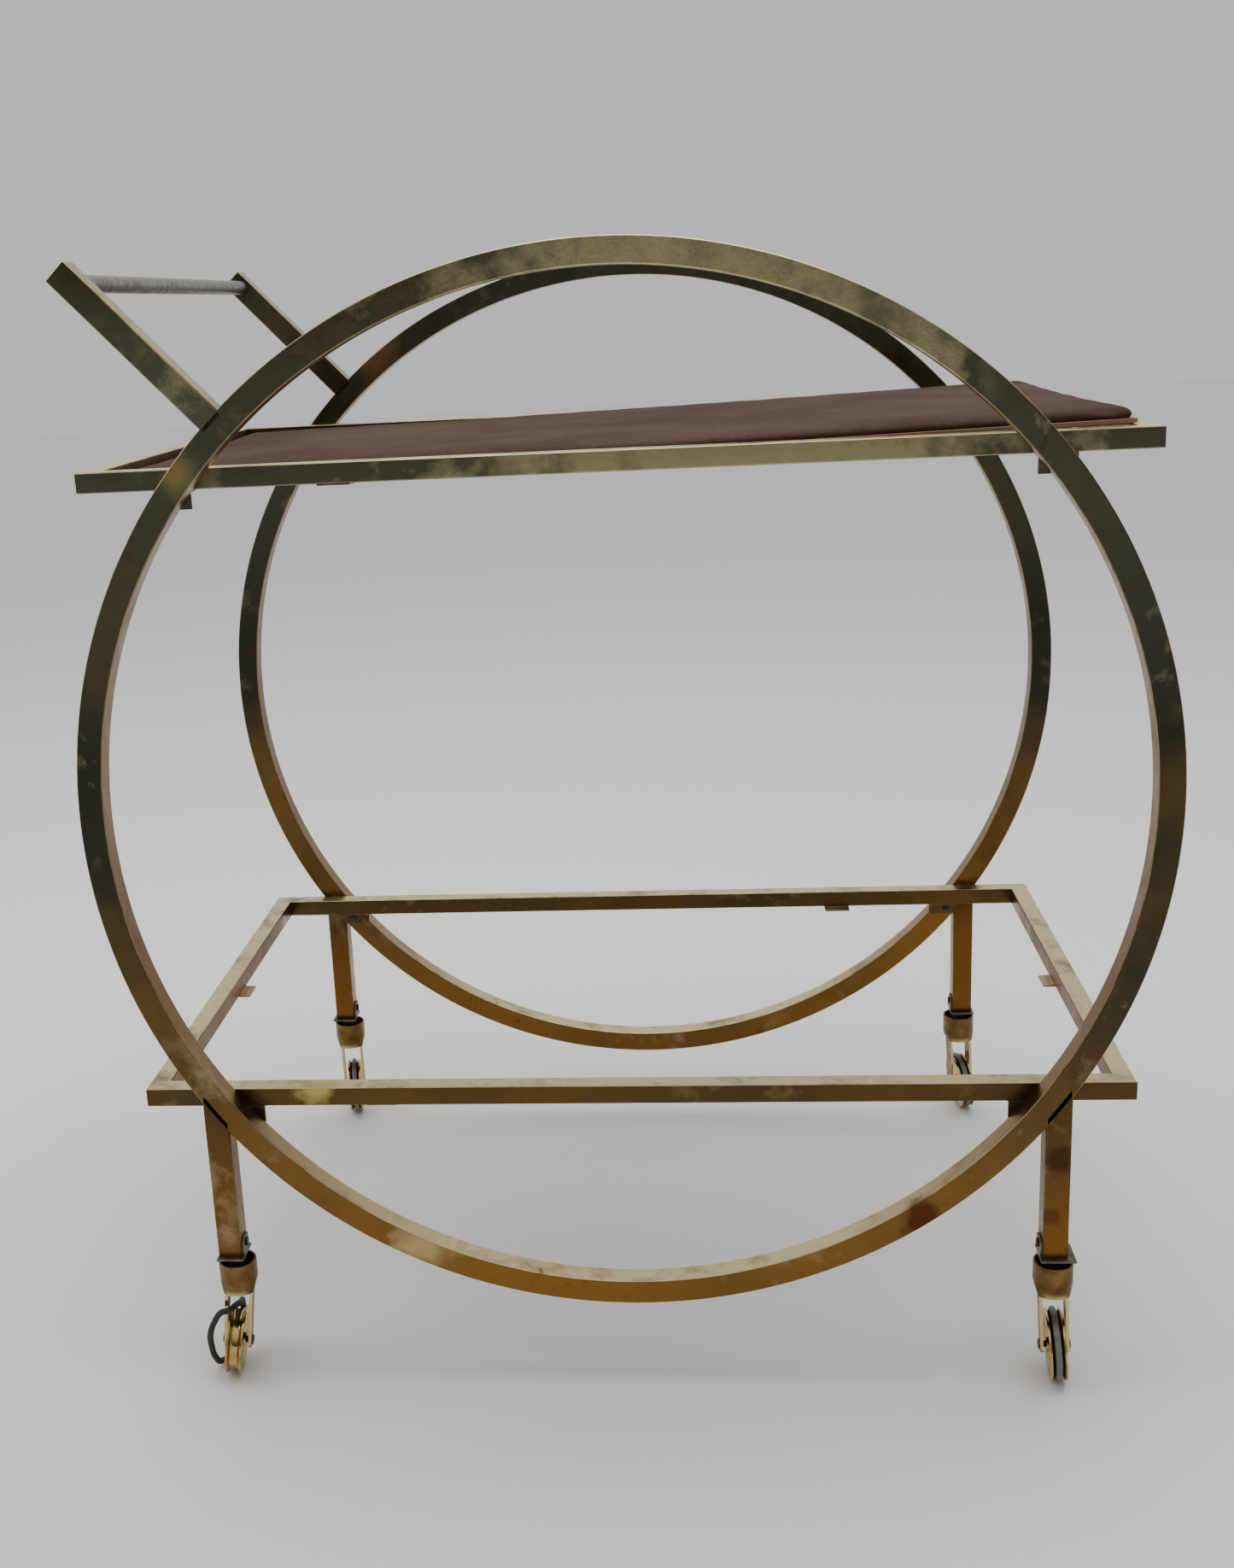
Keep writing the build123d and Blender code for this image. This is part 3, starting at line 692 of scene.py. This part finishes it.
def makeScrewHead(name):
    # a pan head standing on its origin along +Z, with one slot sunk in its crown
    d = screw
    bm = bmesh.new()
    steps = d["steps"]
    profile = [(d["headRadius"], 0.0), (d["headRadius"], 0.55 * d["headHeight"])]
    for t in (0.3, 0.65, 1):  # the crown's shoulder falls in as it rises
        profile.append((d["headRadius"] * (0.97 - 0.3 * t * t), d["headHeight"] * (0.62 + 0.33 * t)))
    profile.append((d["headRadius"] * 0.36, d["headHeight"]))
    around = [(cos(2 * pi * i / steps), sin(2 * pi * i / steps)) for i in range(steps)]
    rings = [[bm.verts.new((r * x / 1000, r * y / 1000, z / 1000)) for x, y in around] for r, z in profile]
    for lower, upper in zip(rings, rings[1:]):
        for i in range(steps):
            bm.faces.new((lower[i], lower[(i + 1) % steps], upper[(i + 1) % steps], upper[i]))
    bm.faces.new(rings[-1])
    bm.faces.new(reversed(rings[0]))
    head = bpy.data.meshes.new(name + "Head")
    bm.to_mesh(head)
    bm.free()
    cutterMesh = bpy.data.meshes.new(name + "Slot")
    bm = bmesh.new()
    bmesh.ops.create_cube(bm, size=1.0)
    slotSize = (d["slotLength"] / 1000, d["slotWidth"] / 1000, 2 * d["slotDepth"] / 1000)
    bmesh.ops.scale(bm, vec=slotSize, verts=bm.verts)
    bmesh.ops.translate(bm, vec=(0, 0, d["headHeight"] / 1000), verts=bm.verts)
    bm.to_mesh(cutterMesh)
    bm.free()
    headPiece = bpy.data.objects.new(name, head)
    cutter = bpy.data.objects.new(name + "Slot", cutterMesh)
    for each in (headPiece, cutter):
        scene.collection.objects.link(each)
    cut = headPiece.modifiers.new("slot", "BOOLEAN")
    cut.object, cut.solver = cutter, "EXACT"
    mesh = keptMesh(headPiece)
    for each in (headPiece, cutter):
        bpy.data.objects.remove(each)
    return mesh


def makeScrewTree():
    # a head on every point of the given mesh, aimed by its facing and spun by its turn
    tree, given = newTree("screwSet", {"Scale": 1.0})
    tree.interface.new_socket("Head", in_out="INPUT", socket_type="NodeSocketObject")
    facing = addNode(tree, "GeometryNodeInputNamedAttribute", {"Name": "facing"}, data_type="FLOAT_VECTOR")
    turn = addNode(tree, "GeometryNodeInputNamedAttribute", {"Name": "turn"}, data_type="FLOAT")
    aimed = addNode(tree, "FunctionNodeAlignRotationToVector", {"Vector": facing.outputs[0]}, axis="Z")
    spun = addNode(tree, "FunctionNodeAxisAngleToRotation", {"Axis": (0, 0, 1), "Angle": turn.outputs[0]})
    both = addNode(tree, "FunctionNodeRotateRotation", {0: aimed.outputs[0], 1: spun.outputs[0]},
                   rotation_space="LOCAL")
    head = addNode(tree, "GeometryNodeObjectInfo", {"Object": given.outputs["Head"]})
    points = addNode(tree, "GeometryNodeMeshToPoints", {"Mesh": given.outputs["Geometry"]})
    placed = addNode(tree, "GeometryNodeInstanceOnPoints",
                     {"Points": points.outputs[0], "Instance": head.outputs["Geometry"],
                      "Rotation": both.outputs[0], "Scale": given.outputs["Scale"]})
    return endTree(tree, given, placed.outputs[0])


def pointMesh(name, places, attributes):
    mesh = bpy.data.meshes.new(name)
    mesh.from_pydata([tuple(p) for p in places], [], [])
    for key, (kind, field, values) in attributes.items():
        layer = mesh.attributes.new(key, kind, "POINT")
        for item, value in zip(layer.data, values):
            setattr(item, field, value)
    return mesh


def screwSeats():
    # (place, outward direction) for every screw on the frame, from the CAD screws
    seats = []
    for level in ("upper", "lower"):
        for shank in looseParts(level + "_bracket_screws"):
            seats.append(headSeat(shank))
    for spot in corners:
        seats.append(headSeat(looseParts("caster_screw_" + spot)[0]))
    return seats


def looseParts(nodeName):
    # the points of each separate shell in a CAD node
    bm = bmesh.new()
    bm.from_mesh(cadNodes[nodeName].data)
    bmesh.ops.remove_doubles(bm, verts=bm.verts, dist=2e-6)
    left, parts = set(bm.verts), []
    while left:
        grown, edge = set(), {left.pop()}
        while edge:
            grown |= edge
            edge = {e.other_vert(v) for v in edge for e in v.link_edges} - grown
        left -= grown
        parts.append([v.co.copy() for v in grown])
    bm.free()
    return parts


def headSeat(points):
    # the head is the wide end: find the shank's axis, then the wide end's inner face
    low = Vector([min(p[i] for p in points) for i in range(3)])
    high = Vector([max(p[i] for p in points) for i in range(3)])
    size = high - low
    axis = next(i for i in range(3) if all(abs(size[i] - size[(i + j) % 3]) > 1e-4 for j in (1, 2)))
    centre = (low + high) / 2
    radius = size[(axis + 1) % 3] / 2

    def wide(p):
        flat = p - centre
        flat[axis] = 0
        return flat.length > radius * 0.9

    headEnds = [p[axis] for p in points if wide(p)]
    seat = min(headEnds, key=lambda v: abs(v - centre[axis]))
    facing = Vector((0, 0, 0))
    facing[axis] = 1 if max(headEnds, key=lambda v: abs(v - centre[axis])) > centre[axis] else -1
    place = centre.copy()
    place[axis] = seat
    return place, facing


def makeScrews():
    seats = screwSeats()
    head = bpy.data.objects.new("screwHead", makeScrewHead("screwHead"))
    scene.collection.objects.link(head)
    turns = [screw["turnFirst"] + screw["turnStep"] * i for i in range(len(seats))]
    start = pointMesh("screwSeats", [place for place, facing in seats],
                      {"facing": ("FLOAT_VECTOR", "vector", [facing for place, facing in seats]),
                       "turn": ("FLOAT", "value", turns)})
    mesh = meshFromTree("frameScrews", makeScrewTree(), screwSteel, {"Scale": 1.0, "Head": head}, start)
    bpy.data.objects.remove(head)
    replaced = [level + "_bracket_screws" for level in ("upper", "lower")]
    replaced += ["caster_screw_" + spot for spot in corners]
    evenNormals(newPiece("frameScrews", mesh, "frame", screwSteel, replaced))


makeScrews()
print("screws made")


# the loose tyre hangs over its bare wheel, out round the fork; its route is measured from the hub in
# millimetres: along the axle, backwards and up
looseTyre = {"section": 0.0025, "sides": 4, "smooth": 10,
             "route": ((-1.0, 2.0, 32.0), (-1.0, 21.5, 21.5), (-1.0, 29.5, 1.0), (-2.0, 25.0, -16.5),
                       (-5.0, 20.5, -25.5), (-13.0, 8.5, -27.0), (-16.5, -6.0, -16.0), (-19.7, -15.5, 1.0),
                       (-20.5, -19.8, 16.5), (-17.5, -20.2, 27.5), (-13.2, -20.0, 35.0), (-7.0, -19.6, 37.5),
                       (-3.0, -9.0, 36.0))}


def makeLooseTyre():
    joint = joints["front_left_roll"]
    hub, along = Vector(joint["pos_m"]), Vector(joint["axis"]).normalized()
    back = Vector((-along.y, along.x, 0)).normalized()
    upward = along.cross(back)
    data = bpy.data.curves.new("looseTyre", "CURVE")
    data.dimensions, data.resolution_u = "3D", looseTyre["smooth"]
    data.bevel_depth, data.bevel_resolution = looseTyre["section"], looseTyre["sides"]
    line = data.splines.new("BEZIER")
    line.bezier_points.add(len(looseTyre["route"]) - 1)
    line.use_cyclic_u = True
    for point, (a, b, c) in zip(line.bezier_points, looseTyre["route"]):
        point.co = hub + (along * a + back * b + upward * c) / 1000
        point.handle_left_type = point.handle_right_type = "AUTO"
    holder = bpy.data.objects.new("looseTyreLine", data)
    scene.collection.objects.link(holder)
    mesh = keptMesh(holder)
    bpy.data.objects.remove(holder)
    newPiece("looseTyre", mesh, "swivel_front_left", blackRubber, ["slipped_tyre_front_left"])


makeLooseTyre()
print("loose tyre made")


# the pad: velvet over foam and board, swollen by a cloth simulation, with its hem turned under the board;
# sizes in metres, and cap is the most that a point may swell
padShape = {"thickness": 0.011, "under": 0.0013, "shrink": 0.0012, "planCorner": 0.006, "round": 0.0028,
            "voxel": 0.006, "pressure": 4.0, "slack": -0.012, "stiffness": 2.0, "held": 0.002, "cap": 0.0022,
            "frames": 20, "hem": 0.020, "hemCorner": 0.005, "hemInset": 0.0015, "hemLow": 0.0002,
            "hemHigh": 0.0016}


def padFrame():
    # turns the pad's own axes, from its lower handle-end corner line, to where it rests
    low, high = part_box("pad_cover")
    thick = padShape["thickness"]
    slope = asin((high.z - low.z - thick) / (high.x - low.x))
    length = (high.x - low.x - thick * sin(slope)) / cos(slope)
    corner = Matrix.Translation((low.x + thick * sin(slope), (low.y + high.y) / 2, low.z))
    return corner @ Matrix.Rotation(-slope, 4, "Y"), length, high.y - low.y


def roundedBlock(name, low, high, corner, radius):
    # a block with its four upright edges rounded by corner and its top edges by radius
    bm = bmesh.new()
    bmesh.ops.create_cube(bm, size=1.0)
    for vert in bm.verts:
        vert.co = Vector([low[i] if vert.co[i] < 0 else high[i] for i in range(3)])
    upright = [e for e in bm.edges if abs(e.verts[0].co.z - e.verts[1].co.z) > 1e-6]
    bmesh.ops.bevel(bm, geom=upright, offset=corner, segments=6, profile=0.5, affect="EDGES")
    top = [e for e in bm.edges if e.verts[0].co.z > high[2] - 1e-6 and e.verts[1].co.z > high[2] - 1e-6]
    bmesh.ops.bevel(bm, geom=top, offset=radius, segments=4, profile=0.5, affect="EDGES")
    mesh = bpy.data.meshes.new(name)
    bm.to_mesh(mesh)
    bm.free()
    return mesh


def swell(cushion):
    # cloth swollen by pressure, with its underside held where it lies on the board
    d = padShape
    rest = [v.co.copy() for v in cushion.data.vertices]
    held = cushion.vertex_groups.new(name="held")
    held.add([i for i, p in enumerate(rest) if p.z < d["under"] + d["held"]], 1.0, "REPLACE")
    cloth = cushion.modifiers.new("swell", "CLOTH")
    settings = cloth.settings
    settings.vertex_group_mass = "held"
    settings.use_pressure, settings.uniform_pressure_force = True, d["pressure"]
    settings.shrink_min = d["slack"]
    settings.bending_stiffness = d["stiffness"]
    settings.effector_weights.gravity = 0
    cloth.point_cache.frame_start, cloth.point_cache.frame_end = 1, d["frames"]
    for step in range(1, d["frames"] + 1):
        scene.frame_set(step)
    swollen = cushion.evaluated_get(bpy.context.evaluated_depsgraph_get()).data
    moved = [v.co.copy() for v in swollen.vertices]
    cushion.modifiers.remove(cloth)
    cushion.vertex_groups.remove(held)
    for vert, before, after in zip(cushion.data.vertices, rest, moved):
        shift = after - before
        if shift.length > d["cap"]:
            shift *= d["cap"] / shift.length
        vert.co = before + shift
    scene.frame_set(1)


def makeHemBand(name, length, width):
    # the velvet turned under: a flat band round the pad's underside, open in the middle
    d = padShape

    def ring(inset, z):
        across = width / 2 - inset
        ends = (inset, length - inset)
        plan = ((ends[0], -across), (ends[1], -across), (ends[1], across), (ends[0], across))
        return [bm.verts.new((x, y, z)) for x, y in plan]

    bm = bmesh.new()
    edge = d["shrink"] + d["hemInset"]
    rings = [ring(edge, d["hemLow"]), ring(d["hem"], d["hemLow"]), ring(d["hem"], d["hemHigh"]),
             ring(edge, d["hemHigh"])]
    for i in range(4):
        for j in range(4):
            k = (j + 1) % 4
            bm.faces.new((rings[i][j], rings[i][k], rings[(i + 1) % 4][k], rings[(i + 1) % 4][j]))
    upright = [e for e in bm.edges if abs(e.verts[0].co.z - e.verts[1].co.z) > 1e-4]
    bmesh.ops.bevel(bm, geom=upright, offset=d["hemCorner"], segments=5, profile=0.5, affect="EDGES")
    bmesh.ops.recalc_face_normals(bm, faces=bm.faces)
    mesh = bpy.data.meshes.new(name)
    bm.to_mesh(mesh)
    bm.free()
    return mesh


def makePad():
    d = padShape
    place, length, width = padFrame()
    edge = d["shrink"]
    block = roundedBlock("padBlock", (edge, -width / 2 + edge, d["under"]),
                         (length - edge, width / 2 - edge, d["thickness"] - edge),
                         d["planCorner"], d["round"])
    cushion = bpy.data.objects.new("velvetPad", block)
    scene.collection.objects.link(cushion)
    remesh = cushion.modifiers.new("even", "REMESH")
    remesh.mode, remesh.voxel_size = "VOXEL", d["voxel"]
    cushion.data = keptMesh(cushion)
    cushion.modifiers.remove(remesh)
    swell(cushion)
    whole = bmesh.new()
    whole.from_mesh(cushion.data)
    whole.from_mesh(makeHemBand("padHem", length, width))
    whole.transform(place)
    mesh = bpy.data.meshes.new("velvetPad")
    whole.to_mesh(mesh)
    whole.free()
    bpy.data.objects.remove(cushion)
    pad = newPiece("velvetPad", mesh, "pad", velvet, ["pad_cover", "pad_foam"])
    finer = pad.modifiers.new("finer", "SUBSURF")
    finer.levels = finer.render_levels = 1


makePad()
print("pad made")


# floor, background and light
studio = {"floorRadius": 14.0, "floorSteps": 64, "floorZ": -0.0006, "floorColour": (0.76, 0.75, 0.73, 1),
          "floorRoughness": 0.75, "background": (0.70, 0.70, 0.69), "front": (0.06, 0.058, 0.05),
          "back": (0.95, 0.96, 0.98), "strength": 0.9}


def makeFloor():
    # a wide disc just under the tyres
    steps, radius = studio["floorSteps"], studio["floorRadius"]
    angles = [2 * pi * i / steps for i in range(steps)]
    mesh = bpy.data.meshes.new("floor")
    mesh.from_pydata([(radius * cos(angle), radius * sin(angle), studio["floorZ"]) for angle in angles], [],
                     [tuple(range(steps))])
    floor = bpy.data.objects.new("floor", mesh)
    scene.collection.objects.link(floor)
    material, _, shader, _ = newMaterial("paleFloor")
    shader.inputs["Base Color"].default_value = studio["floorColour"]
    shader.inputs["Roughness"].default_value = studio["floorRoughness"]
    floor.data.materials.append(material)
    floor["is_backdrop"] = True


def makeLight(name, place, aim, size, power, tint=(1, 1, 1)):
    data = bpy.data.lights.new(name, "AREA")
    data.shape, data.size, data.size_y = "RECTANGLE", *size
    data.energy, data.color = power, tint
    lamp = bpy.data.objects.new(name, data)
    turned = (Vector(aim) - Vector(place)).to_track_quat("-Z", "Y").to_matrix().to_4x4()
    lamp.matrix_world = Matrix.Translation(place) @ turned
    scene.collection.objects.link(lamp)


def makeWorld():
    # the brass sees a dim front and a bright back and ceiling, and the background stays plain and pale
    world = bpy.data.worlds.new("studio")
    world.use_nodes = True
    tree = world.node_tree
    way = addNode(tree, "ShaderNodeTexCoord").outputs["Generated"]
    parts = addNode(tree, "ShaderNodeSeparateXYZ", {0: way})
    back = between(tree, parts.outputs["Y"], -0.75, 0.25)
    up = between(tree, parts.outputs["Z"], 0.15, 0.8)
    tint = blendColour(tree, calc(tree, "MAXIMUM", back, up), studio["front"], studio["back"])
    seen = addNode(tree, "ShaderNodeLightPath").outputs["Is Camera Ray"]
    tint = blendColour(tree, seen, tint, studio["background"])
    tree.links.new(tint, tree.nodes["Background"].inputs["Color"])
    tree.nodes["Background"].inputs["Strength"].default_value = studio["strength"]
    scene.world = world


makeFloor()
makeWorld()
makeLight("ceilingSoftbox", (0.1, 0.2, 2.9), (0, 0, 0.3), (2.6, 2.0), 60)
makeLight("sideSoftbox", (-2.6, -0.4, 1.8), (0, 0, 0.4), (1.6, 1.6), 18, (1.0, 0.98, 0.95))
print("floor and lights set")


low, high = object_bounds()
